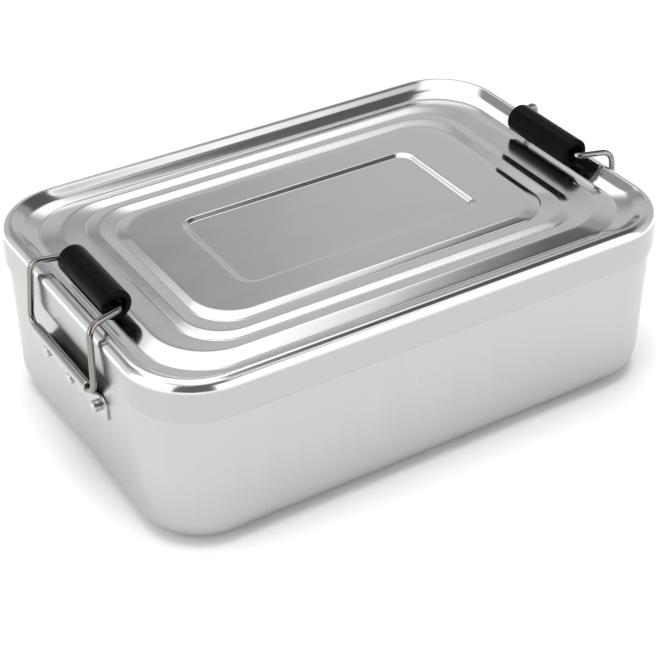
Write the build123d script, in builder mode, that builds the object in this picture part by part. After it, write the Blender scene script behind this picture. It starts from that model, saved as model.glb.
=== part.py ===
"""Aluminium lunch box: a drawn tub, a pressed lift-off lid and two wire bail latches.

Frame: origin at the middle of the bottom, +X along the long side, +Z up, millimetres.
The left latch is on the -X end and the right latch, its mirror image, is on the +X end.
"""

import os
from math import asin, atan2, cos, degrees, hypot, sin

from build123d import *

# Overall size of the closed lid
length = 230.0
width = 154.0
rim_top = 75.0
corner_radius = 28.5
sheet = 1.0

# Lid: skirt and rounded rim
skirt_bottom = 59.3
rim_radius = 4.0

# Lid relief, from the rim inwards:
# (inset from the ends, inset from the long sides, corner radius, depth below the rim)
rim_inner_edge = (4.3, 4.3, 24.2, 0.0)
rim_inner_foot = (7.6, 7.6, 24.6, 2.7)
latch_groove = (11.9, 11.9, 25.1, 4.2)
first_step_top = (18.8, 18.8, 22.9, 2.45)
first_shelf_foot = (28.1, 23.5, 19.1, 3.25)
second_step_top = (32.4, 27.8, 17.0, 2.45)
second_shelf_foot = (37.3, 32.7, 16.6, 3.15)
panel_edge = (41.1, 36.5, 16.3, 2.05)
sunk_rectangle_edge = (61.7, 50.6, 6.5, 2.05)
sunk_rectangle_floor = (63.4, 52.3, 5.0, 3.05)
lid_relief = [
    rim_inner_edge,
    rim_inner_foot,
    latch_groove,
    first_step_top,
    first_shelf_foot,
    second_step_top,
    second_shelf_foot,
    panel_edge,
    sunk_rectangle_edge,
    sunk_rectangle_floor,
]

# Tub: walls lean in by the draft from the rim down to the floor
tub_rim = 71.5
tub_inset = 1.35
tub_draft = 1.0
tub_bottom_radius = 12.0

# Latches, all about one cross line that lies a little in front of the middle
latch_y = -3.5
pivot_x = 118.3
pivot_z = 51.8
roller_x = 102.8
roller_z = 79.2

# Bail wire: half spans of its four bends, measured from the latch's cross line
wire_radius = 1.25
shoulder_x = 116.8
shoulder_z = 79.0
shoulder_half_span = 25.0
foot_half_span = 27.6
roller_bend_half_span = 20.8
roller_bend_radius = 2.2
shoulder_bend_radius = 4.5
foot_bend_radius = 4.5
wire_end_gap = 3.0

# Roller
roller_radius = 6.0
roller_length = 37.5
roller_edge_radius = 0.9
roller_bore_radius = 1.33
recess_radius = 3.7
recess_depth = 2.2

# Hinge plate: flat against the end wall, then bent out and curled round the wire
plate_sheet = 0.8
plate_bottom = 37.0
plate_bend_z = 46.4
plate_half_width = 26.8
knuckle_half_width = 22.2
curl_bore_radius = 1.31
curl_sweep = 250.0
wall_gap = 0.03

# Rivets
rivet_z = 41.2
rivet_pitch = 20.4
rivet_shank_radius = 1.5
rivet_hole_radius = 1.55
rivet_head_radius = 2.3
rivet_head_height = 3.0
rivet_head_rounding = 0.6
rivet_tail_radius = 2.4
rivet_tail_height = 0.8
rivet_fit_gap = 0.04
drill_depth = 4.0


def tub_half_length(z):
    """Half length of the tub's outside at height z."""
    return length / 2 - tub_inset - tub_draft * (1 - z / tub_rim)


def tub_half_width(z):
    """Half width of the tub's outside at height z."""
    return width / 2 - tub_inset - tub_draft * (1 - z / tub_rim)


def tub_form(inset, floor, top):
    """A solid tub, pulled in by inset, from the height floor to the height top."""
    with BuildPart() as form:
        with BuildSketch(Plane.XY.offset(floor)):
            RectangleRounded(
                2 * (tub_half_length(floor) - inset),
                2 * (tub_half_width(floor) - inset),
                corner_radius - tub_inset - tub_draft - inset,
            )
        extrude(amount=top - floor, taper=-degrees(atan2(tub_draft, tub_rim)))
        fillet(form.edges().group_by(Axis.Z)[0], radius=tub_bottom_radius - inset)
    return form.part


def lid_form(inset, drop, bottom):
    """A solid with the lid's upper surface, pulled in by inset and lowered by drop."""
    with BuildPart() as form:
        with BuildSketch(Plane.XY.offset(bottom)):
            RectangleRounded(length - 2 * inset, width - 2 * inset, corner_radius - inset)
        extrude(amount=rim_top - drop - bottom)
        fillet(form.edges().group_by(Axis.Z)[-1], radius=rim_radius - inset)
        for outer, inner in zip(lid_relief, lid_relief[1:]):
            if outer[3] == inner[3]:
                continue
            for end_inset, side_inset, radius, depth in (outer, inner):
                with BuildSketch(Plane.XY.offset(rim_top - drop - depth)):
                    RectangleRounded(length - 2 * end_inset, width - 2 * side_inset, radius)
            sinks = inner[3] > outer[3]
            loft(ruled=True, mode=Mode.SUBTRACT if sinks else Mode.ADD)
    return form.part


def end_plane(x, y, z):
    """A plane on the left end that faces outwards, with its origin at (x, y, z)."""
    return Plane(origin=(x, y, z), x_dir=(0, 1, 0), z_dir=(-1, 0, 0))


def rivet_rows():
    """The cross positions of one plate's rivets."""
    return [latch_y + step * rivet_pitch for step in (-1, 0, 1)]


def make_body():
    """The drawn tub with its rivet holes."""
    with BuildPart() as body:
        add(tub_form(0, 0, tub_rim))
        add(tub_form(sheet, sheet, tub_rim + sheet), mode=Mode.SUBTRACT)
        for y in rivet_rows():
            with BuildSketch(end_plane(-length / 2, y, rivet_z)):
                Circle(rivet_hole_radius)
            extrude(amount=-drill_depth, mode=Mode.SUBTRACT)
            with BuildSketch(end_plane(length / 2, y, rivet_z)):
                Circle(rivet_hole_radius)
            extrude(amount=drill_depth, mode=Mode.SUBTRACT)
    return body.part


def make_lid():
    """The pressed lid: one sheet that follows the relief on both faces."""
    with BuildPart() as lid:
        add(lid_form(0, 0, skirt_bottom))
        add(lid_form(sheet, sheet, skirt_bottom - sheet), mode=Mode.SUBTRACT)
    return lid.part


def make_left_plate():
    """The hinge plate: a riveted flat, a bend outwards and a curl round the wire."""
    half_sheet = plate_sheet / 2
    skin = wall_gap + half_sheet
    foot = (-(tub_half_length(plate_bottom) + skin), plate_bottom)
    bend = (-(tub_half_length(plate_bend_z) + skin), plate_bend_z)
    curl_radius = curl_bore_radius + half_sheet
    run_x = -pivot_x - bend[0]
    run_z = pivot_z - bend[1]
    run = hypot(run_x, run_z)
    slope = atan2(run_z, run_x) + asin(curl_radius / run)
    reach = (run**2 - curl_radius**2) ** 0.5
    tangent_point = (bend[0] + reach * cos(slope), bend[1] + reach * sin(slope))
    with BuildPart() as plate:
        with BuildSketch(Plane.XZ.offset(-latch_y)):
            with BuildLine():
                Line(foot, bend)
                Line(bend, tangent_point)
                JernArc(tangent_point, (cos(slope), sin(slope)), curl_radius, -curl_sweep)
                offset(amount=half_sheet)
            make_face()
        extrude(amount=knuckle_half_width, both=True)
        with BuildSketch(Plane.XZ.offset(-latch_y)):
            with BuildLine():
                Line(foot, bend)
                offset(amount=half_sheet)
            make_face()
        extrude(amount=plate_half_width, both=True)
        for y in rivet_rows():
            with BuildSketch(end_plane(-length / 2 - sheet, y, rivet_z)):
                Circle(rivet_hole_radius)
            extrude(amount=-drill_depth, mode=Mode.SUBTRACT)
    return plate.part


def make_left_rivet(y):
    """One rivet: domed head on the plate, shank through the wall, flat tail inside."""
    plate_face = -(tub_half_length(rivet_z) + wall_gap + plate_sheet + rivet_fit_gap)
    wall_inside = -(tub_half_length(rivet_z) - sheet - rivet_fit_gap)
    with BuildPart() as rivet:
        with BuildSketch(end_plane(plate_face, y, rivet_z)):
            Circle(rivet_head_radius)
        extrude(amount=rivet_head_height)
        fillet(rivet.edges().group_by(Axis.X)[0], radius=rivet_head_rounding)
        with BuildSketch(end_plane(plate_face, y, rivet_z)):
            Circle(rivet_shank_radius)
        extrude(amount=plate_face - wall_inside)
        with BuildSketch(end_plane(wall_inside, y, rivet_z)):
            Circle(rivet_tail_radius)
        extrude(amount=-rivet_tail_height)
    return rivet.part


def make_left_bail():
    """The bail: one bent wire whose two ends meet inside the roller."""
    loop = []
    for side in (-1, 1):
        corners = [
            (-roller_x, latch_y + side * wire_end_gap / 2, roller_z),
            (-roller_x, latch_y + side * roller_bend_half_span, roller_z),
            (-shoulder_x, latch_y + side * shoulder_half_span, shoulder_z),
            (-pivot_x, latch_y + side * foot_half_span, pivot_z),
        ]
        loop += corners if side < 0 else corners[::-1]
    bends = [roller_bend_radius, shoulder_bend_radius, foot_bend_radius]
    with BuildPart() as bail:
        with BuildLine():
            FilletPolyline(*loop, radius=bends + bends[::-1])
        with BuildSketch(Plane(origin=loop[0], z_dir=(0, -1, 0))):
            Circle(wire_radius)
        sweep()
    return bail.part


def make_left_roller():
    """The roller: a plastic tube with a recess round the wire at each end."""
    middle = Plane.XZ.offset(-latch_y)
    with BuildPart() as roller:
        with BuildSketch(middle):
            with Locations((-roller_x, roller_z)):
                Circle(roller_radius)
        extrude(amount=roller_length / 2, both=True)
        fillet(roller.edges().filter_by(GeomType.CIRCLE), radius=roller_edge_radius)
        with BuildSketch(middle):
            with Locations((-roller_x, roller_z)):
                Circle(roller_bore_radius)
        extrude(amount=roller_length, both=True, mode=Mode.SUBTRACT)
        for side in (-1, 1):
            with BuildSketch(middle.offset(side * (roller_length / 2 - recess_depth))):
                with Locations((-roller_x, roller_z)):
                    Circle(recess_radius)
            extrude(amount=side * 2 * recess_depth, mode=Mode.SUBTRACT)
    return roller.part


def write(part, name):
    """Label a piece and write its STEP file."""
    part.label = name
    export_step(part, f"parts/{name}.step")


def write_pair(left_part, stem, number=""):
    """Write a left piece and its mirror image on the right."""
    with BuildPart() as right:
        mirror(left_part, about=Plane.YZ)
    write(left_part, f"{stem}_left{number}")
    write(right.part, f"{stem}_right{number}")


os.makedirs("parts", exist_ok=True)
write(make_body(), "body")
write(make_lid(), "lid")
write_pair(make_left_plate(), "hinge_plate")
write_pair(make_left_bail(), "bail_wire")
write_pair(make_left_roller(), "roller")
for index, rivet_y in enumerate(rivet_rows()):
    write_pair(make_left_rivet(rivet_y), "rivet", f"_{index + 1}")
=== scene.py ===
"""Lunch box: the visual model of an aluminium box with a pressed lid and two bail latches.

Sizes in the classes are millimetres and angles are degrees. Meshes are written in metres in
the frame's own coordinates: +X along the long side, +Z up, the floor of the box at Z = 0.
"""

import logging
from dataclasses import dataclass, field, replace
from enum import Enum
from math import asin, atan2, cos, degrees, hypot, pi, radians, sin, sqrt
from typing import Any, Iterable, Sequence

import bmesh
import bpy
from mathutils import Matrix, Quaternion, Vector


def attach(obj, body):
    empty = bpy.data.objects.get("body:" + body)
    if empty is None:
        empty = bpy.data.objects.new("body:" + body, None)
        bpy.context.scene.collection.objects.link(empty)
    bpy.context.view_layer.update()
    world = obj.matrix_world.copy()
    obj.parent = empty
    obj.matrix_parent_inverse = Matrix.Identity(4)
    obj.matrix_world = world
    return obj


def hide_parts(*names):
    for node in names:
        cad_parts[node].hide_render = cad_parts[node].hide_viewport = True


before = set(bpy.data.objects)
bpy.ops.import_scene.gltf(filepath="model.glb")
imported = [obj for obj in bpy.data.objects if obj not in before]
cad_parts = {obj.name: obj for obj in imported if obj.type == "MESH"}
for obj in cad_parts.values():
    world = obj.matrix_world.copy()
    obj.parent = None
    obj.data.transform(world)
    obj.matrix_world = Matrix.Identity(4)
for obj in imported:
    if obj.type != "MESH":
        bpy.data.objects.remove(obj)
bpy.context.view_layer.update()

MM = 0.001
WELD = 1e-6  # metres: points of a closed form that lie this close are one point
LATCH_MIDDLE = -3.5  # the cross line that both latches and their rivets are centred on
PLATE_SHEET = 0.8
log = logging.getLogger("lunch_box")


class Side(Enum):
    """The end of the box that a latch sits on; the value is the sign of its X."""

    LEFT = -1
    RIGHT = 1

    @property
    def word(self) -> str:
        """The side's name as it is used in node and body names."""
        return self.name.lower()


class Carrier(Enum):
    """The rigid bodies that pieces ride on."""

    BOX = "box"
    LID = "lid"
    LATCH = "latch"
    ROLLER = "roller_tube"

    def on(self, side: Side) -> str:
        """The name of this body on one side of the box."""
        return f"{self.value}_{side.word}"


# ---- Node trees ----


class Term:
    """A node socket that takes part in arithmetic."""

    def __init__(self, graph: "Graph", socket: bpy.types.NodeSocket) -> None:
        """Keep the socket and the graph it belongs to."""
        self.graph = graph
        self.socket = socket

    def output(self, name: str) -> "Term":
        """Another output of the same node."""
        return Term(self.graph, self.graph.find(self.socket.node.outputs, name))

    def __add__(self, other: Any) -> "Term":
        """Self plus other."""
        return self.graph.math("ADD", self, other)

    __radd__ = __add__

    def __sub__(self, other: Any) -> "Term":
        """Self minus other."""
        return self.graph.math("SUBTRACT", self, other)

    def __rsub__(self, other: Any) -> "Term":
        """Other minus self."""
        return self.graph.math("SUBTRACT", other, self)

    def __mul__(self, other: Any) -> "Term":
        """Self times other."""
        return self.graph.math("MULTIPLY", self, other)

    __rmul__ = __mul__

    def __truediv__(self, other: Any) -> "Term":
        """Self over other."""
        return self.graph.math("DIVIDE", self, other)

    def swing(self, spread: float) -> "Term":
        """A pattern from 0 to 1 turned into a change of up to half the spread each way."""
        return (self - 0.5) * spread

    def floor(self) -> "Term":
        """The whole number at or below self."""
        return self.graph.math("FLOOR", self)

    def least(self, other: Any) -> "Term":
        """The smaller of self and other."""
        return self.graph.math("MINIMUM", self, other)

    def most(self, other: Any) -> "Term":
        """The larger of self and other."""
        return self.graph.math("MAXIMUM", self, other)

    def cosine(self) -> "Term":
        """The cosine of self, in radians."""
        return self.graph.math("COSINE", self)

    def sine(self) -> "Term":
        """The sine of self, in radians."""
        return self.graph.math("SINE", self)

    def step(self, low: float, high: float) -> "Term":
        """A smooth rise from 0 at low to 1 at high; low may be the larger one."""
        ends = {"Value": self, "From Min": low, "From Max": high}
        return self.graph.add("ShaderNodeMapRange", ends, interpolation_type="SMOOTHSTEP")


class Graph:
    """Builds one node tree, for a material, the world or a Geometry Nodes modifier."""

    def __init__(self, tree: bpy.types.NodeTree) -> None:
        """Start on an empty tree."""
        self.tree = tree
        tree.nodes.clear()

    @staticmethod
    def find(sockets: Any, key: str | int) -> bpy.types.NodeSocket:
        """The socket in use that has this name or number."""
        if isinstance(key, int):
            return sockets[key]
        named = [socket for socket in sockets if socket.name == key]
        return next((socket for socket in named if socket.enabled), named[0])

    def add(
        self,
        kind: str,
        sockets: dict[str | int, Any] | None = None,
        out: str | int = 0,
        **settings: Any,
    ) -> Term:
        """Add one node.

        Args:
            kind: The node's type.
            sockets: A value or a Term for each input that is used.
            out: The output that is returned.
            **settings: The node's properties, set before its sockets.

        Returns:
            The chosen output, or the first one if the node has any.
        """
        node = self.tree.nodes.new(kind)
        for name, value in settings.items():
            setattr(node, name, value)
        for name, value in (sockets or {}).items():
            socket = self.find(node.inputs, name)
            if isinstance(value, Term):
                self.tree.links.new(value.socket, socket)
            else:
                socket.default_value = value
        outputs = [socket for socket in node.outputs if socket.enabled] or [None]
        return Term(self, outputs[0] if out == 0 else self.find(node.outputs, out))

    def math(self, operation: str, *values: Any) -> Term:
        """Add one Math node on one to three values or Terms."""
        return self.add("ShaderNodeMath", dict(enumerate(values)), operation=operation)

    def blend(self, factor: Any, low: Any, high: Any) -> Term:
        """A colour that goes from low to high as the factor goes from 0 to 1."""
        ends = {"Factor": factor, "A": low, "B": high}
        return self.add("ShaderNodeMix", ends, data_type="RGBA")

    def attribute(self, name: str, kind: str = "FLOAT") -> Term:
        """A vertex attribute of the geometry that is being worked on."""
        return self.add("GeometryNodeInputNamedAttribute", {"Name": name}, data_type=kind)

    def noise(
        self, size: float | tuple[float, float, float], detail: float = 2.0, seed: float = 0.0
    ) -> Term:
        """Smooth noise from 0 to 1.

        Args:
            size: The size of its features in millimetres, or their sizes along X, Y and Z.
            detail: How many finer layers it has.
            seed: Shifts the pattern.

        Returns:
            The noise value.
        """
        sizes = size if isinstance(size, tuple) else (size,) * 3
        place = self.add("ShaderNodeTexCoord", out="Object")
        scale = [1 / (MM * each) for each in sizes]
        moved = {"Vector": place, "Location": (seed,) * 3, "Scale": scale}
        pattern = {"Vector": self.add("ShaderNodeMapping", moved), "Scale": 1.0, "Detail": detail}
        return self.add("ShaderNodeTexNoise", pattern, "Fac")

    def bump(self, height: Term, depth: float, strength: float, under: Term | None = None) -> Term:
        """A bumped normal.

        Args:
            height: The height pattern, from 0 to 1.
            depth: The height of a full step, in millimetres.
            strength: How much of it shows.
            under: A bumped normal that this one lies on.

        Returns:
            The new normal.
        """
        sockets = {"Height": height, "Distance": depth * MM, "Strength": strength}
        if under is not None:
            sockets["Normal"] = under
        return self.add("ShaderNodeBump", sockets)


def tree_with_inputs(name: str, inputs: dict[str, str]) -> tuple[Graph, dict[str, Term]]:
    """Start a Geometry Nodes tree.

    Args:
        name: The tree's name.
        inputs: Each input's name and socket type, after the geometry.

    Returns:
        The graph, and a Term for each input by name.
    """
    tree = bpy.data.node_groups.new(name, "GeometryNodeTree")
    wanted = {"Geometry": "NodeSocketGeometry", **inputs}
    for socket_name, kind in wanted.items():
        tree.interface.new_socket(socket_name, in_out="INPUT", socket_type=kind)
    tree.interface.new_socket("Geometry", in_out="OUTPUT", socket_type="NodeSocketGeometry")
    graph = Graph(tree)
    start = graph.add("NodeGroupInput")
    return graph, {socket_name: start.output(socket_name) for socket_name in wanted}


def end_tree(graph: Graph, geometry: Term, material: Term) -> bpy.types.NodeTree:
    """Finish a tree with smooth faces, real geometry and its material."""
    smooth = graph.add("GeometryNodeSetShadeSmooth", {"Geometry": geometry})
    real = graph.add("GeometryNodeRealizeInstances", {"Geometry": smooth})
    dressed = graph.add("GeometryNodeSetMaterial", {"Geometry": real, "Material": material})
    graph.add("NodeGroupOutput", {"Geometry": dressed})
    return graph.tree


def ring_loft_tree() -> bpy.types.NodeTree:
    """A skin over a stack of rounded rectangles.

    Each input vertex is one ring: its X is the half length, its Y the half width and its Z
    the height, and its "corner" attribute is the corner radius.
    """
    graph, given = tree_with_inputs(
        "ring_loft",
        {
            "Corner Steps": "NodeSocketInt",
            "Side Steps": "NodeSocketInt",
            "Weld": "NodeSocketFloat",
            "Material": "NodeSocketMaterial",
        },
    )
    rounding_guard = 0.0001
    rings = given["Geometry"]
    rows = graph.add("GeometryNodeAttributeDomainSize", {"Geometry": rings}, "Point Count")
    quarter = given["Corner Steps"] + given["Side Steps"]
    columns = quarter * 4 + 1
    grid = graph.add("GeometryNodeMeshGrid", {"Vertices X": rows, "Vertices Y": columns}, "Mesh")
    index = graph.add("GeometryNodeInputIndex")
    row = (index / columns + rounding_guard).floor()
    column = index - row * columns
    turn_count = (column / quarter + rounding_guard).floor()
    along = column - turn_count * quarter
    turn = (along / given["Corner Steps"]).least(1.0)
    run = ((along - given["Corner Steps"]) / given["Side Steps"]).most(0.0)
    angle = (turn_count + turn) * (pi / 2)
    here = (turn_count + 0.5) * (pi / 2)
    there = here + pi / 2
    span_x = sqrt(2) * (here.cosine() * (1 - run) + there.cosine() * run)
    span_y = sqrt(2) * (here.sine() * (1 - run) + there.sine() * run)
    at_row = {"Geometry": rings, "Index": row}
    spot = {**at_row, "Value": graph.add("GeometryNodeInputPosition")}
    ring = graph.add("GeometryNodeSampleIndex", spot, data_type="FLOAT_VECTOR")
    radius = {**at_row, "Value": graph.attribute("corner")}
    corner = graph.add("GeometryNodeSampleIndex", radius, data_type="FLOAT")
    half_length = graph.add("ShaderNodeSeparateXYZ", {"Vector": ring})
    half_width, height = half_length.output("Y"), half_length.output("Z")
    place = graph.add(
        "ShaderNodeCombineXYZ",
        {
            "X": (half_length - corner) * span_x + corner * angle.cosine(),
            "Y": (half_width - corner) * span_y + corner * angle.sine(),
            "Z": height,
        },
    )
    shaped = graph.add("GeometryNodeSetPosition", {"Geometry": grid, "Position": place})
    joined = {"Geometry": shaped, "Distance": given["Weld"]}
    welded = graph.add("GeometryNodeMergeByDistance", joined)
    return end_tree(graph, welded, given["Material"])


def bent_wire_tree() -> bpy.types.NodeTree:
    """A round wire along a line of points, bent by each point's "bend" radius."""
    graph, given = tree_with_inputs(
        "bent_wire",
        {
            "Wire Radius": "NodeSocketFloat",
            "Bend Steps": "NodeSocketInt",
            "Round Steps": "NodeSocketInt",
            "Material": "NodeSocketMaterial",
        },
    )
    line = graph.add("GeometryNodeMeshToCurve", {"Mesh": given["Geometry"]})
    bends = {"Curve": line, "Count": given["Bend Steps"], "Radius": graph.attribute("bend")}
    bent = graph.add("GeometryNodeFilletCurve", bends, mode="POLY")
    circle = graph.add(
        "GeometryNodeCurvePrimitiveCircle",
        {"Resolution": given["Round Steps"], "Radius": given["Wire Radius"]},
    )
    wire = graph.add(
        "GeometryNodeCurveToMesh", {"Curve": bent, "Profile Curve": circle, "Fill Caps": True}
    )
    return end_tree(graph, wire, given["Material"])


def set_out_tree() -> bpy.types.NodeTree:
    """Copies of one object on the input's vertices, each turned by its "turn" attribute."""
    graph, given = tree_with_inputs(
        "set_out", {"Pattern": "NodeSocketObject", "Material": "NodeSocketMaterial"}
    )
    chosen = {"Object": given["Pattern"]}
    pattern = graph.add("GeometryNodeObjectInfo", chosen, "Geometry", transform_space="ORIGINAL")
    turn = graph.attribute("turn", "FLOAT_VECTOR")
    copies = graph.add(
        "GeometryNodeInstanceOnPoints",
        {"Points": given["Geometry"], "Instance": pattern, "Rotation": turn},
    )
    return end_tree(graph, copies, given["Material"])


# ---- Mesh tools ----


@dataclass(frozen=True)
class Ring:
    """One rounded rectangle of a lofted form, in millimetres."""

    half_length: float
    half_width: float
    corner: float
    height: float
    softness: float = 0.0

    def toward(self, other: "Ring", share: float) -> "Ring":
        """The ring that lies this share of the way to another one."""
        keep = 1 - share
        return Ring(
            self.half_length * keep + other.half_length * share,
            self.half_width * keep + other.half_width * share,
            self.corner * keep + other.corner * share,
            self.height * keep + other.height * share,
            self.softness,
        )

    def gap(self, other: "Ring") -> float:
        """The distance to another ring in the cross-section."""
        return hypot(self.half_width - other.half_width, self.height - other.height)

    def lowered(self, drop: float, inset: float = 0.0) -> "Ring":
        """This ring moved down, and in on all sides."""
        return Ring(
            self.half_length - inset,
            self.half_width - inset,
            max(self.corner - inset, 0.0),
            self.height - drop,
            self.softness,
        )


def soften(rings: Sequence[Ring], bend_steps: int, stride: float) -> list[Ring]:
    """Round the bends of a profile and divide its long runs.

    Args:
        rings: The profile; a ring's softness is how far its bend reaches each way.
        bend_steps: Rings in each rounded bend.
        stride: The longest gap between rings.

    Returns:
        The finer profile.
    """
    curve = [rings[0]]
    for before, ring, after in zip(rings, rings[1:], rings[2:]):
        if ring.softness <= 0:
            curve.append(ring)
            continue
        start = ring.toward(before, min(ring.softness / before.gap(ring), 0.5))
        end = ring.toward(after, min(ring.softness / ring.gap(after), 0.5))
        for step in range(bend_steps + 1):
            share = step / bend_steps
            curve.append(start.toward(ring, share).toward(ring.toward(end, share), share))
    curve.append(rings[-1])
    fine = [curve[0]]
    for ring in curve[1:]:
        last = fine[-1]
        parts = max(1, int(last.gap(ring) / stride + 0.999))
        fine += [last.toward(ring, part / parts) for part in range(1, parts + 1)]
    return fine


def turned(
    outline: Sequence[tuple[float, float, float]], bend_steps: int, stride: float
) -> list[Ring]:
    """Round rings through a turned form's outline.

    Args:
        outline: Each point's radius, its place along the axis and its softness.
        bend_steps: Rings in each rounded bend.
        stride: The longest gap between rings.

    Returns:
        The profile, ready to loft.
    """
    rings = [Ring(radius, radius, radius, along, soft) for radius, along, soft in outline]
    return soften(rings, bend_steps, stride)


def rounded(corner: Ring, radius: float, start: float, sweep: float, steps: int) -> list[Ring]:
    """Rings round an arc of the cross-section.

    Args:
        corner: The ring through the arc's centre line; its corner radius belongs to that line.
        radius: The arc's radius.
        start: The arc's first direction, 0 outwards and 90 up.
        sweep: How far it turns.
        steps: How many steps it has.

    Returns:
        The rings in order.
    """
    rings = []
    for step in range(steps + 1):
        angle = radians(start + sweep * step / steps)
        out, up = radius * cos(angle), radius * sin(angle)
        rings.append(
            Ring(
                corner.half_length + out,
                corner.half_width + out,
                corner.corner + out,
                corner.height + up,
            )
        )
    return rings


def mesh_object(
    name: str,
    points: Iterable[Sequence[float]],
    edges: Sequence[tuple[int, int]] = (),
    faces: Sequence[Sequence[int]] = (),
    values: dict[str, tuple[str, list[Any]]] | None = None,
) -> bpy.types.Object:
    """A linked mesh object from plain lists.

    Args:
        name: The object's name.
        points: Its vertices, in metres.
        edges: Its loose edges.
        faces: Its faces.
        values: Vertex attributes by name: their type, and a value for each vertex.

    Returns:
        The object, at the origin.
    """
    mesh = bpy.data.meshes.new(name)
    mesh.from_pydata([tuple(point) for point in points], edges, faces)
    for label, (kind, entries) in (values or {}).items():
        attribute = mesh.attributes.new(label, kind, "POINT")
        for slot, entry in zip(attribute.data, entries):
            if kind == "FLOAT":
                slot.value = entry
            else:
                slot.vector = entry
    piece = bpy.data.objects.new(name, mesh)
    bpy.context.scene.collection.objects.link(piece)
    return piece


def grow(piece: bpy.types.Object, tree: bpy.types.NodeTree, inputs: dict[str, Any]) -> None:
    """Run a Geometry Nodes tree on a piece and keep the result as its plain mesh."""
    modifier = piece.modifiers.new(tree.name, "NODES")
    modifier.node_group = tree
    for item in tree.interface.items_tree:
        if item.item_type == "SOCKET" and item.in_out == "INPUT" and item.name in inputs:
            modifier[item.identifier] = inputs[item.name]
    keep_result(piece)


def keep_result(piece: bpy.types.Object) -> None:
    """Turn a piece's modifiers into its plain mesh."""
    bpy.context.view_layer.update()
    seen = piece.evaluated_get(bpy.context.evaluated_depsgraph_get())
    baked = bpy.data.meshes.new_from_object(seen)
    piece.modifiers.clear()
    piece.data = baked
    baked.name = piece.name


def close_and_face_out(piece: bpy.types.Object, weld: float = WELD) -> None:
    """Merge a closed form's doubles, drop its flat slivers and point its faces outwards."""
    form = bmesh.new()
    form.from_mesh(piece.data)
    bmesh.ops.remove_doubles(form, verts=form.verts, dist=weld)
    bmesh.ops.dissolve_degenerate(form, edges=form.edges, dist=weld / 10)
    bmesh.ops.recalc_face_normals(form, faces=form.faces)
    form.to_mesh(piece.data)
    form.free()
    piece.data.polygons.foreach_set("use_smooth", [True] * len(piece.data.polygons))
    piece.data.update()


def loft(
    name: str,
    rings: Sequence[Ring],
    tree: bpy.types.NodeTree,
    corner_steps: int,
    side_steps: int,
    material: bpy.types.Material,
) -> bpy.types.Object:
    """A closed form through a list of rings, grown by the ring_loft tree.

    Args:
        name: The piece's name.
        rings: The rings in order, along the closed cross-section.
        tree: The ring_loft tree.
        corner_steps: Faces round each corner.
        side_steps: Faces along each side.
        material: The piece's material.

    Returns:
        The piece, with its result kept as a plain mesh.
    """
    piece = mesh_object(
        name,
        [(r.half_length * MM, r.half_width * MM, r.height * MM) for r in rings],
        values={"corner": ("FLOAT", [r.corner * MM for r in rings])},
    )
    steps = {"Corner Steps": corner_steps, "Side Steps": side_steps}
    grow(piece, tree, {**steps, "Weld": WELD, "Material": material})
    close_and_face_out(piece)
    return piece


# ---- Finishes ----


@dataclass(frozen=True)
class Finish:
    """A surface finish: it builds one procedural material."""

    name: str
    colour: tuple[float, float, float]
    roughness: float

    def material(self) -> bpy.types.Material:
        """Build the material with this finish's pattern."""
        made = bpy.data.materials.new(self.name)
        made.use_nodes = True
        graph = Graph(made.node_tree)
        shader = graph.add("ShaderNodeBsdfPrincipled", self.surface(graph))
        graph.add("ShaderNodeOutputMaterial", {"Surface": shader})
        return made

    def surface(self, graph: Graph) -> dict[str, Any]:
        """The shader's sockets; each finish has its own."""
        raise NotImplementedError(self.name)

    @staticmethod
    def metal(colour: Term, roughness: Term, normal: Term) -> dict[str, Any]:
        """The shader's sockets for a bare metal."""
        return {"Base Color": colour, "Metallic": 1.0, "Roughness": roughness, "Normal": normal}

    def shade(self, share: float) -> tuple[float, float, float, float]:
        """The base colour times a share."""
        return (*[channel * share for channel in self.colour], 1.0)


@dataclass(frozen=True)
class PressedLid(Finish):
    """Polished aluminium on top that turns satin down the skirt, where the colour is darkened as
    painted shade.
    """

    skirt_roughness: float = 0.24
    # The share of the colour that the skirt and other steep faces keep: painted shade
    skirt_share: float = 0.54
    grain: float = 0.45
    # How far a face must look up to be satin and dark with painted shade still, and to be fully
    # polished and bright
    polish_from: tuple[float, float] = (0.02, 0.34)

    def surface(self, graph: Graph) -> dict[str, Any]:
        """Polished top, satin skirt darkened with painted shade, draw lines, soft waves and fine
        grain.
        """
        normal = graph.add("ShaderNodeTexCoord", out="Normal")
        facing_up = graph.add("ShaderNodeSeparateXYZ", {"Vector": normal}).output("Z")
        top = facing_up.step(*self.polish_from)
        smear = graph.noise((26.0, 9.0, 12.0), detail=3.0, seed=3.0)
        fine = graph.noise(self.grain)
        lines = graph.noise((0.7, 0.7, 60.0), seed=9.0)
        wave = graph.noise((38.0, 34.0, 30.0), detail=1.0, seed=5.0)
        satin = self.skirt_roughness + lines.swing(0.08)
        polish = self.roughness + smear.swing(0.07) + fine.swing(0.04)
        bumped = graph.bump(wave, depth=0.22, strength=0.6)
        bumped = graph.bump(lines * (1 - top), depth=0.0007, strength=0.5, under=bumped)
        bumped = graph.bump(fine, depth=0.001, strength=0.35, under=bumped)
        bright = graph.blend(smear, self.shade(0.965), self.shade(1.0))
        # Painted shade: faces that look sideways get a darker colour than faces that look up
        colour = graph.blend(top, self.shade(self.skirt_share), bright)
        return self.metal(colour, satin * (1 - top) + polish * top, bumped)


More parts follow.
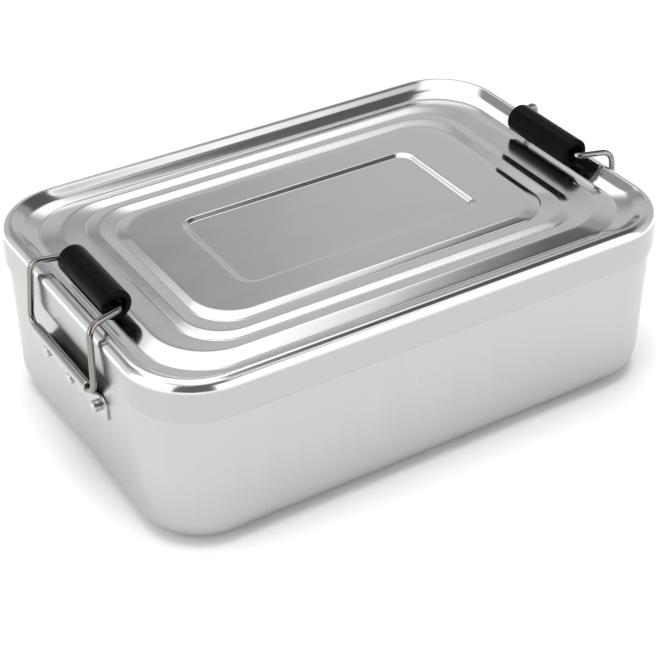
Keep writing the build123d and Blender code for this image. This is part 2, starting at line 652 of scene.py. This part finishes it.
@dataclass(frozen=True)
class DrawnTub(Finish):
    """Satin aluminium with the fine upright lines of deep drawing."""

    line_width: float = 0.55
    line_share: float = 0.6
    grain: float = 0.4

    def surface(self, graph: Graph) -> dict[str, Any]:
        """Upright draw lines, broad waves, fine grain and a few small nicks."""
        lines = graph.noise((self.line_width, self.line_width, 90.0), detail=3.0)
        bands = graph.noise((6.0, 6.0, 160.0), seed=4.0)
        wave = graph.noise((45.0, 45.0, 36.0), detail=1.0, seed=2.0)
        fine = graph.noise(self.grain, seed=7.0)
        nicks = graph.noise(7.0, detail=0.0, seed=11.0).step(0.80, 0.84)
        normal = graph.bump(wave, depth=0.25, strength=0.6)
        normal = graph.bump(lines, depth=0.0007, strength=0.5, under=normal)
        normal = graph.bump(fine, depth=0.001, strength=0.4, under=normal)
        normal = graph.bump(1 - nicks, depth=0.15, strength=0.5, under=normal)
        streaks = bands * (1 - self.line_share) + lines * self.line_share
        colour = graph.blend(streaks, self.shade(0.90), self.shade(1.03))
        return self.metal(colour, self.roughness + lines.swing(0.08) + bands.swing(0.05), normal)


@dataclass(frozen=True)
class RolledSheet(Finish):
    """Satin rolled sheet with its grain across the box."""

    def surface(self, graph: Graph) -> dict[str, Any]:
        """Rolling grain, handling smears and slightly brighter edges."""
        grain = graph.noise((0.3, 9.0, 0.3), detail=3.0)
        smear = graph.noise(6.0, seed=5.0)
        edge = graph.add("ShaderNodeNewGeometry", out="Pointiness").step(0.52, 0.60)
        worn = graph.blend(smear, self.shade(0.93), self.shade(1.0))
        colour = graph.blend(edge, worn, self.shade(1.08))
        normal = graph.bump(grain, depth=0.012, strength=0.35)
        return self.metal(colour, self.roughness + grain.swing(0.14) + smear.swing(0.05), normal)


@dataclass(frozen=True)
class DrawnWire(Finish):
    """Bright drawn stainless wire."""

    def surface(self, graph: Graph) -> dict[str, Any]:
        """Long die marks, small stains and fine grain."""
        marks = graph.noise((0.18, 0.5, 5.0))
        stain = graph.noise(5.0, detail=3.0, seed=8.0)
        colour = graph.blend(stain, self.shade(0.86), self.shade(1.0))
        normal = graph.bump(marks, depth=0.01, strength=0.25)
        return self.metal(colour, self.roughness + stain.swing(0.10) + marks.swing(0.05), normal)


@dataclass(frozen=True)
class StruckRivet(Finish):
    """A rivet head with the marks of its setting tool."""

    def surface(self, graph: Graph) -> dict[str, Any]:
        """Tool marks and dulled patches."""
        marks = graph.noise(0.9)
        dull = graph.noise(2.2, seed=6.0)
        colour = graph.blend(dull, self.shade(0.88), self.shade(1.0))
        normal = graph.bump(marks, depth=0.05, strength=0.4)
        return self.metal(colour, self.roughness + dull.swing(0.16), normal)


@dataclass(frozen=True)
class MouldedPlastic(Finish):
    """Black moulded plastic with a fine texture and rubbed patches."""

    sheen: float = 0.045

    def surface(self, graph: Graph) -> dict[str, Any]:
        """Fine mould texture, rubbed patches and dust-dulled roughness."""
        texture = graph.noise(0.35)
        rubbed = graph.noise((7.0, 10.0, 7.0), detail=3.0, seed=2.0)
        return {
            "Base Color": graph.blend(rubbed, self.shade(0.8), self.shade(1.3)),
            "Roughness": self.roughness + rubbed.swing(0.14),
            "Normal": graph.bump(texture, depth=0.03, strength=0.3),
            "Specular IOR Level": self.sheen,
        }


@dataclass(frozen=True)
class PaleFloor(Finish):
    """The plain studio floor."""

    sheen: float = 0.15

    def surface(self, graph: Graph) -> dict[str, Any]:
        """A matt paper with the faintest mottling."""
        fibre = graph.noise(3.0)
        return {
            "Base Color": graph.blend(fibre, self.shade(0.995), self.shade(1.0)),
            "Roughness": self.roughness,
            "Specular IOR Level": self.sheen,
        }


LID_FINISH = PressedLid("polished_lid", (0.80, 0.81, 0.815), 0.13)
TUB_FINISH = DrawnTub("drawn_tub", (0.48, 0.485, 0.478), 0.25)
SHEET_FINISH = RolledSheet("rolled_hinge_sheet", (0.52, 0.525, 0.52), 0.24)
WIRE_FINISH = DrawnWire("bright_wire", (0.27, 0.26, 0.245), 0.10)
RIVET_FINISH = StruckRivet("struck_rivet", (0.56, 0.56, 0.56), 0.24)
ROLLER_FINISH = MouldedPlastic("black_moulding", (0.0032, 0.0032, 0.0034), 0.24)
FLOOR_FINISH = PaleFloor("pale_floor", (0.90, 0.90, 0.90), 0.8)


# ---- Pieces ----


@dataclass
class Tub:
    """The deep-drawn body of the box."""

    half_length: float = 113.65
    half_width: float = 75.65
    corner: float = 27.15
    rim: float = 71.5
    draft: float = 1.0
    floor_radius: float = 12.0
    sheet: float = 1.0
    rim_softness: float = 0.42
    floor_steps: int = 18
    stride: float = 5.0
    piece: bpy.types.Object | None = None

    def wall(self, height: float, inset: float) -> Ring:
        """The wall's ring at a height, pulled in by an inset."""
        lean = self.draft * (1 - height / self.rim) + inset
        return Ring(
            self.half_length - lean,
            self.half_width - lean,
            self.corner - self.draft - inset,
            height,
        )

    def skin(self, inset: float, floor: float) -> list[Ring]:
        """One face of the sheet, from the middle of the floor to the rim."""
        radius = self.floor_radius - inset
        turn = self.wall(floor + radius, inset)
        axis = Ring(
            turn.half_length - radius, turn.half_width - radius, turn.corner - radius, turn.height
        )
        arc = rounded(axis, radius, -90.0, 90.0, self.floor_steps)
        ridge = axis.half_length - axis.half_width
        middle = Ring(ridge, 0.0, 0.0, floor)
        top = self.wall(self.rim, inset)
        return soften([middle, *arc, top], 1, self.stride)

    def build(self, tree: bpy.types.NodeTree) -> None:
        """Loft the outside, the rim and the inside as one closed sheet."""
        outside = self.skin(0.0, 0.0)
        inside = self.skin(self.sheet, self.sheet)
        outer_top = replace(outside[-1], softness=self.rim_softness)
        inner_top = replace(inside[-1], softness=self.rim_softness)
        rim = soften([outside[-2], outer_top, inner_top, inside[-2]], 4, self.stride)
        rings = outside[:-1] + rim[1:-1] + inside[-2::-1]
        self.piece = loft("tub", rings, tree, 26, 30, TUB_FINISH.material())

    def dress(self) -> None:
        """Let the tub stand for its solid."""
        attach(self.piece, Carrier.BOX.value)
        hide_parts("body")


@dataclass
class Lid:
    """The pressed lid: a skirt, a raised round rim and stepped relief."""

    half_length: float = 115.0
    half_width: float = 77.0
    corner: float = 28.5
    rim_top: float = 75.0
    rim_radius: float = 4.0
    skirt_bottom: float = 59.3
    sheet: float = 1.0
    hem_softness: float = 0.42
    rim_steps: int = 14
    # Inset from the ends, inset from the sides, corner radius, depth below the rim, softness
    relief: tuple[tuple[float, float, float, float, float], ...] = (
        (4.3, 4.3, 24.2, 0.0, 1.6),
        (7.6, 7.6, 24.6, 2.7, 1.2),
        (11.7, 11.7, 25.1, 4.2, 0.35),
        (12.05, 12.05, 25.0, 3.9, 0.18),
        (18.8, 18.8, 22.9, 2.45, 0.7),
        (28.1, 23.5, 19.1, 3.27, 0.25),
        (28.45, 23.85, 18.9, 2.92, 0.18),
        (32.4, 27.8, 17.0, 2.45, 0.6),
        (37.3, 32.7, 16.6, 3.17, 0.25),
        (37.65, 33.05, 16.55, 2.82, 0.18),
        (41.1, 36.5, 16.3, 2.05, 0.6),
        (61.7, 50.6, 6.5, 2.05, 0.6),
        (63.4, 52.3, 5.0, 3.05, 0.5),
    )
    piece: bpy.types.Object | None = None

    def top(self) -> list[Ring]:
        """The relief from the rim to the middle, before its bends are rounded."""
        rings = [
            Ring(
                self.half_length - end, self.half_width - side, corner, self.rim_top - depth, soft
            )
            for end, side, corner, depth, soft in self.relief
        ]
        floor = rings[-1]
        middle = Ring(floor.half_length - floor.half_width, 0.0, 0.0, floor.height)
        return [*rings, middle]

    def rim(self, inset: float) -> list[Ring]:
        """The round rim from the skirt to the top, on the outside or the inside."""
        radius = self.rim_radius - inset
        axis = Ring(
            self.half_length - self.rim_radius,
            self.half_width - self.rim_radius,
            self.corner - self.rim_radius,
            self.rim_top - self.rim_radius,
        )
        return rounded(axis, radius, 0.0, 90.0, self.rim_steps)

    def build(self, tree: bpy.types.NodeTree) -> None:
        """Loft the outside, the cut edge and the underside as one closed sheet."""
        edge = Ring(
            self.half_length, self.half_width, self.corner, self.skirt_bottom, self.hem_softness
        )
        outside = soften([*self.rim(0.0), *self.top()], 8, 1.6)
        under = [ring.lowered(self.sheet) for ring in self.top()]
        inside = soften([*self.rim(self.sheet), *under], 4, 5.0)
        inner_edge = edge.lowered(0.0, self.sheet)
        hem = soften([outside[0], edge, inner_edge, inside[0]], 4, 2.0)
        rings = outside[:0:-1] + hem + inside[1:]
        self.piece = loft("lid_pressing", rings, tree, 28, 26, LID_FINISH.material())

    def dress(self) -> None:
        """Let the lid stand for its solid."""
        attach(self.piece, Carrier.LID.value)
        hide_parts("lid")


@dataclass
class Latch:
    """One bail latch: its hinge plate, its bent wire and its roller."""

    side: Side
    tub: Tub
    middle: float = LATCH_MIDDLE
    pivot: tuple[float, float] = (118.3, 51.8)
    roller: tuple[float, float] = (102.8, 79.2)
    # Wire: the shoulder is (distance out, half span, height)
    wire_radius: float = 1.25
    shoulder: tuple[float, float, float] = (116.8, 25.0, 79.0)
    foot_half_span: float = 27.6
    roller_bend_half_span: float = 20.8
    bends: tuple[float, float, float] = (2.2, 4.5, 4.5)
    end_gap: float = 3.0
    # Roller
    roller_radius: float = 6.0
    roller_length: float = 37.5
    roller_edge: float = 0.9
    bore: float = 1.33
    recess_radius: float = 3.7
    recess_depth: float = 2.2
    recess_draft: float = 0.4
    # Hinge plate
    plate_sheet: float = PLATE_SHEET
    plate_bottom: float = 37.0
    plate_bend: float = 46.4
    plate_half_width: float = 26.8
    knuckle_half_width: float = 22.2
    curl_bore: float = 1.31
    curl_sweep: float = 250.0
    curl_steps: int = 26
    wall_gap: float = 0.03
    plate_columns: int = 22
    plate_ease: float = 0.14
    sharp_edge: float = 50.0
    foot_corner: float = 1.8
    shoulder_drop: float = 1.5
    # Rows of points where the flange's outline curves: above its foot, and below its bend
    foot_rows: tuple[float, ...] = (0.03, 0.12, 0.3, 0.6, 1.1)
    shoulder_rows: tuple[float, ...] = (1.5, 1.4, 1.1)
    # How far the rounded bend reaches into the flange and into the run to the wire, as shares
    bend_reach: tuple[float, float] = (0.14, 0.22)
    bend_steps: int = 6
    pieces: dict[str, bpy.types.Object] = field(default_factory=dict)

    def out(self, x: float, y: float, z: float) -> tuple[float, float, float]:
        """A point on this latch's end, in metres; x is counted outwards."""
        return (self.side.value * x * MM, y * MM, z * MM)

    def flange(self, height: float) -> Vector:
        """The middle of the sheet at a height on the flat flange: distance out, and height."""
        skin = self.wall_gap + self.plate_sheet / 2
        return Vector((self.tub.wall(height, 0).half_length + skin, height))

    def plate_path(self) -> list[Vector]:
        """The sheet's middle line: up the wall, out to the wire and round it."""
        foot, bend = self.flange(self.plate_bottom), self.flange(self.plate_bend)
        pivot, radius = Vector(self.pivot), self.curl_bore + self.plate_sheet / 2
        run = pivot - bend
        slope = atan2(run.y, -run.x) + asin(radius / run.length)
        reach = sqrt(run.length**2 - radius**2)
        touch = bend + reach * Vector((-cos(slope), sin(slope)))
        path = [self.flange(self.plate_bottom + rise) for rise in (0.0, *self.foot_rows)]
        path += [foot.lerp(bend, step / 8) for step in range(2, 7)]
        path += [self.flange(self.plate_bend - drop) for drop in self.shoulder_rows]
        before, after = bend.lerp(foot, self.bend_reach[0]), bend.lerp(touch, self.bend_reach[1])
        for step in range(self.bend_steps + 1):
            share = step / self.bend_steps
            path.append(before.lerp(bend, share).lerp(bend.lerp(after, share), share))
        path += [bend.lerp(touch, share) for share in (0.4, 0.6, 0.8)]
        first = atan2(touch.y - pivot.y, touch.x - pivot.x)
        for step in range(self.curl_steps + 1):
            angle = first + radians(self.curl_sweep) * step / self.curl_steps
            path.append(pivot + radius * Vector((cos(angle), sin(angle))))
        return path

    def plate_half_span(self, height: float) -> float:
        """Half the plate's width at a height: full on the flange, less on the knuckle."""
        above, below = height - self.plate_bottom, self.plate_bend - height
        if below <= 0:
            return self.knuckle_half_width
        if above < self.foot_corner:
            short = 1 - above / self.foot_corner
            return self.plate_half_width - self.foot_corner * (1 - sqrt(1 - short**2))
        if below > self.shoulder_drop:
            return self.plate_half_width
        short = 1 - below / self.shoulder_drop
        spare = self.plate_half_width - self.knuckle_half_width
        return self.knuckle_half_width + spare * sqrt(1 - short**2)

    def build_plate(self) -> None:
        """Bend a sheet along the path, then give it its thickness and eased edges."""
        points, faces = [], []
        path, columns = self.plate_path(), self.plate_columns
        for row in path:
            half = self.plate_half_span(row.y)
            for column in range(columns + 1):
                across = half * (2 * column / columns - 1)
                points.append(self.out(row.x, self.middle + across, row.y))
        for number in range(len(path) - 1):
            for column in range(columns):
                first = number * (columns + 1) + column
                faces.append((first, first + 1, first + columns + 2, first + columns + 1))
        plate = mesh_object(f"hinge_sheet_{self.side.word}", points, faces=faces)
        thick = plate.modifiers.new("thickness", "SOLIDIFY")
        thick.thickness = self.plate_sheet * MM
        thick.offset = 0.0
        ease = plate.modifiers.new("eased_edges", "BEVEL")
        ease.width = self.plate_ease * MM
        ease.segments = 2
        ease.limit_method = "ANGLE"
        ease.angle_limit = radians(self.sharp_edge)
        keep_result(plate)
        close_and_face_out(plate, WELD / 10)
        plate.data.materials.append(SHEET_FINISH.material())
        self.pieces["plate"] = plate

    def build_wire(self, tree: bpy.types.NodeTree) -> None:
        """Bend the bail from one wire, with both ends inside the roller."""
        small, mid, large = self.bends
        corners = []
        for side in (-1, 1):
            run = [
                ((self.roller[0], self.end_gap / 2, self.roller[1]), 0.0),
                ((self.roller[0], self.roller_bend_half_span, self.roller[1]), small),
                (self.shoulder, mid),
                ((self.pivot[0], self.foot_half_span, self.pivot[1]), large),
            ]
            leg = [(self.out(x, self.middle + side * y, z), bend) for (x, y, z), bend in run]
            corners += leg if side < 0 else leg[::-1]
        wire = mesh_object(
            f"bail_{self.side.word}",
            [point for point, _ in corners],
            edges=[(number, number + 1) for number in range(len(corners) - 1)],
            values={"bend": ("FLOAT", [bend * MM for _, bend in corners])},
        )
        steps = {"Bend Steps": 14, "Round Steps": 24}
        material = WIRE_FINISH.material()
        grow(wire, tree, {"Wire Radius": self.wire_radius * MM, **steps, "Material": material})
        close_and_face_out(wire)
        self.pieces["wire"] = wire

    def build_roller(self, tree: bpy.types.NodeTree) -> None:
        """Turn the roller round its bore, then lay it on the wire."""
        half = self.roller_length / 2
        shelf = half - self.recess_depth
        end = [
            (self.bore, shelf, 0.15),
            (self.recess_radius - self.recess_draft, shelf, 0.4),
            (self.recess_radius, half, 0.35),
            (self.roller_radius, half, self.roller_edge),
        ]
        far_end = [(radius, -along, soft) for radius, along, soft in end]
        rings = turned([*far_end, *end[::-1], (self.bore, -shelf, 0.0)], 6, 2.5)
        name = f"roller_{self.side.word}_tube"
        roller = loft(name, rings, tree, 14, 1, ROLLER_FINISH.material())
        place = Matrix.Translation(self.out(self.roller[0], self.middle, self.roller[1]))
        roller.data.transform(place @ Matrix.Rotation(pi / 2, 4, "X"))
        self.pieces["roller"] = roller

    def build(self, trees: dict[str, bpy.types.NodeTree]) -> None:
        """Build the three pieces."""
        self.build_plate()
        self.build_wire(trees["bent_wire"])
        self.build_roller(trees["ring_loft"])

    def dress(self) -> None:
        """Let each piece ride on its body and stand for its solid."""
        word = self.side.word
        homes = {
            "plate": (Carrier.BOX.value, f"hinge_plate_{word}", "hinge_sheet"),
            "wire": (Carrier.LATCH.on(self.side), f"bail_wire_{word}", "stainless_wire"),
            "roller": (Carrier.ROLLER.on(self.side), f"roller_{word}", "black_plastic"),
        }
        for key, (body, node, slot) in homes.items():
            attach(self.pieces[key], body)
            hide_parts(node)


@dataclass
class Rivets:
    """The six rivets that hold the hinge plates."""

    tub: Tub
    middle: float = LATCH_MIDDLE
    height: float = 41.2
    pitch: float = 20.4
    head_radius: float = 2.3
    head_height: float = 3.0
    crown_share: float = 0.45
    crown_drop: float = 0.05
    brow_drop: float = 0.2
    head_draft: float = 0.08
    shank_radius: float = 1.5
    tail_radius: float = 2.4
    tail_height: float = 0.8
    tail_draft: float = 0.1
    plate_sheet: float = PLATE_SHEET
    gap: float = 0.07
    piece: bpy.types.Object | None = None

    def outline(self) -> list[Ring]:
        """The rivet's turned form; its axis is Z and the plate's face is at 0."""
        wall = self.plate_sheet + self.tub.sheet + self.gap
        end = wall + self.tail_height
        outline = [
            (0.0, self.head_height, 0.0),
            (self.head_radius * self.crown_share, self.head_height - self.crown_drop, 0.5),
            (self.head_radius - self.head_draft, self.head_height - self.brow_drop, 0.5),
            (self.head_radius, 0.0, 0.1),
            (self.shank_radius, 0.0, 0.05),
            (self.shank_radius, -wall, 0.05),
            (self.tail_radius, -wall, 0.1),
            (self.tail_radius - self.tail_draft, -end, 0.35),
            (0.0, -end, 0.0),
        ]
        return turned(outline, 4, 1.0)

    def build(self, trees: dict[str, bpy.types.NodeTree]) -> None:
        """Turn one rivet, then set out all six."""
        material = RIVET_FINISH.material()
        pattern = loft("rivet_pattern", self.outline(), trees["ring_loft"], 7, 1, material)
        face = self.tub.wall(self.height, 0).half_length + self.plate_sheet + self.gap
        points, turns = [], []
        for side in Side:
            for step in (-1, 0, 1):
                row = self.middle + step * self.pitch
                points.append((side.value * face * MM, row * MM, self.height * MM))
                turns.append((0.0, side.value * pi / 2, 0.0))
        self.piece = mesh_object("rivets", points, values={"turn": ("FLOAT_VECTOR", turns)})
        grow(self.piece, trees["set_out"], {"Pattern": pattern, "Material": material})
        bpy.data.objects.remove(pattern)
        close_and_face_out(self.piece)

    def dress(self) -> None:
        """Let the rivets stand for their solids."""
        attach(self.piece, Carrier.BOX.value)
        names = [f"rivet_{side.word}_{number}" for side in Side for number in (1, 2, 3)]
        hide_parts(*names)


# ---- Studio ----


@dataclass(frozen=True)
class Card:
    """A soft-edged part of the tent, in degrees of turn and of rise above the floor.

    Turn 0 lies beyond the box as the camera sees it, and grows to the right. Each card covers
    what the cards before it show in its place.
    """

    turn: tuple[float, float]
    rise: tuple[float, float]
    brightness: float
    soft: float = 6.0

    def mask(self, turn: Term, rise: Term) -> Term:
        """Where this card is: 1 inside it, 0 outside."""
        return self.window(rise, *self.rise) * self.window(turn, *self.turn)

    def window(self, angle: Term, low: float, high: float) -> Term:
        """1 from low to high with soft ends."""
        start = angle.step(low - self.soft, low + self.soft)
        return start * (1 - angle.step(high - self.soft, high + self.soft))


@dataclass
class Studio:
    """The floor, the soft light round the box and the camera."""

    floor_half: float = 3000.0
    position: tuple[float, float, float] = (-305.22, -490.63, 419.36)
    aim: tuple[float, float, float] = (-24.9, -37.9, 50.0)
    roll: float = -0.367
    lens: float = 94.54
    sensor: float = 36.0
    heading: float = 31.77
    tent: float = 0.57
    lamp_size: float = 1400.0
    lamp_height: float = 1800.0
    lamp_power: float = 24.0
    cards: tuple[Card, ...] = (
        # Low side cards, left and right
        Card((-104, -62), (-20, 28), 0.80, 10),
        Card((62, 96), (-20, 30), 0.70, 10),
        # Dim cards beyond the box
        Card((-70, -2), (29, 60), 0.31, 6),
        Card((1, 60), (33.5, 60), 0.40, 5),
        # The bright roof, with a dark card in front of its right side
        Card((-45, 100), (41, 120), 1.35, 3),
        Card((-110, -35), (51, 120), 1.35, 5),
        Card((18, 88), (40, 70), 0.10, 6),
        # Bright cards beside the camera, each with a brighter middle
        Card((-154, -92), (-30, 60), 1.90, 8),
        Card((92, 152), (-30, 45), 1.50, 8),
        Card((-154, -108), (2, 30), 3.2, 8),
        Card((100, 152), (2, 30), 2.4, 8),
        # The top of the tent
        Card((-200, 200), (74, 120), 1.40, 6),
        # Dark cards behind the camera
        Card((112, 200), (50, 68), 0.16, 6),
        Card((148, 200), (-30, 62), 0.14, 6),
        Card((-200, -151), (-30, 62), 0.14, 6),
    )

    def build_floor(self) -> None:
        """Lay a plain pale floor."""
        half = self.floor_half * MM
        corners = [(-half, -half, 0), (half, -half, 0), (half, half, 0), (-half, half, 0)]
        floor = mesh_object("floor", corners, faces=[(0, 1, 2, 3)])
        floor.data.materials.append(FLOOR_FINISH.material())

    def build_light(self) -> None:
        """Surround the box with a soft tent of pale, grey and dark cards."""
        world = bpy.data.worlds.new("tent")
        world.use_nodes = True
        graph = Graph(world.node_tree)
        place = graph.add("ShaderNodeTexCoord", out="Generated")
        east = graph.add("ShaderNodeSeparateXYZ", {"Vector": place})
        north, up = east.output("Y"), east.output("Z")
        heading = radians(self.heading)
        away = east * sin(heading) + north * cos(heading)
        right = east * cos(heading) - north * sin(heading)
        turn = graph.math("ARCTAN2", right, away) * degrees(1)
        rise = graph.math("ARCSINE", up) * degrees(1)
        tent = self.tent
        for card in self.cards:
            tent = tent + (card.brightness - tent) * card.mask(turn, rise)
        grey = graph.add("ShaderNodeCombineColor", {"Red": tent, "Green": tent, "Blue": tent})
        light = graph.add("ShaderNodeBackground", {"Color": grey, "Strength": 1.0})
        graph.add("ShaderNodeOutputWorld", {"Surface": light})
        bpy.context.scene.world = world

    def build_lamp(self) -> None:
        """Hang a broad lamp over the box that lights the floor but isn't mirrored."""
        data = bpy.data.lights.new("overhead", "AREA")
        data.shape = "DISK"
        data.size = self.lamp_size * MM
        data.energy = self.lamp_power
        lamp = bpy.data.objects.new("overhead", data)
        lamp.location = (0.0, 0.0, self.lamp_height * MM)
        lamp.visible_glossy = False
        lamp.visible_camera = False
        bpy.context.scene.collection.objects.link(lamp)

    def build_camera(self) -> None:
        """Set up the camera."""
        data = bpy.data.cameras.new("camera")
        data.lens = self.lens
        data.sensor_width = self.sensor
        camera = bpy.data.objects.new("camera", data)
        bpy.context.scene.collection.objects.link(camera)
        position, aim = Vector(self.position) * MM, Vector(self.aim) * MM
        turn = (aim - position).to_track_quat("-Z", "Y")
        camera.location = position
        camera.rotation_mode = "QUATERNION"
        camera.rotation_quaternion = turn @ Quaternion((0, 0, 1), radians(self.roll))
        data.clip_start, data.clip_end = 0.02, 20.0
        bpy.context.scene.camera = camera

    def build(self) -> None:
        """Build the camera, the floor and the light."""
        self.build_camera()
        self.build_floor()
        self.build_light()
        self.build_lamp()
        bpy.context.scene.view_settings.view_transform = "Standard"


def triangles(piece: bpy.types.Object) -> int:
    """How many triangles a piece has."""
    return sum(len(face.vertices) - 2 for face in piece.data.polygons)


def main() -> None:
    """Build the studio and every piece, and report them."""
    logging.basicConfig(level=logging.INFO, format="%(message)s")
    Studio().build()
    trees = {
        "ring_loft": ring_loft_tree(),
        "bent_wire": bent_wire_tree(),
        "set_out": set_out_tree(),
    }
    tub = Tub()
    tub.build(trees["ring_loft"])
    lid = Lid()
    lid.build(trees["ring_loft"])
    latches = [Latch(side, tub) for side in Side]
    for latch in latches:
        latch.build(trees)
    rivets = Rivets(tub)
    rivets.build(trees)
    for part in (tub, lid, *latches, rivets):
        part.dress()
    built = [tub.piece, lid.piece, rivets.piece]
    built += [piece for latch in latches for piece in latch.pieces.values()]
    for piece in built:
        log.info("%s: %d triangles", piece.name, triangles(piece))


if __name__ == "__main__":
    main()
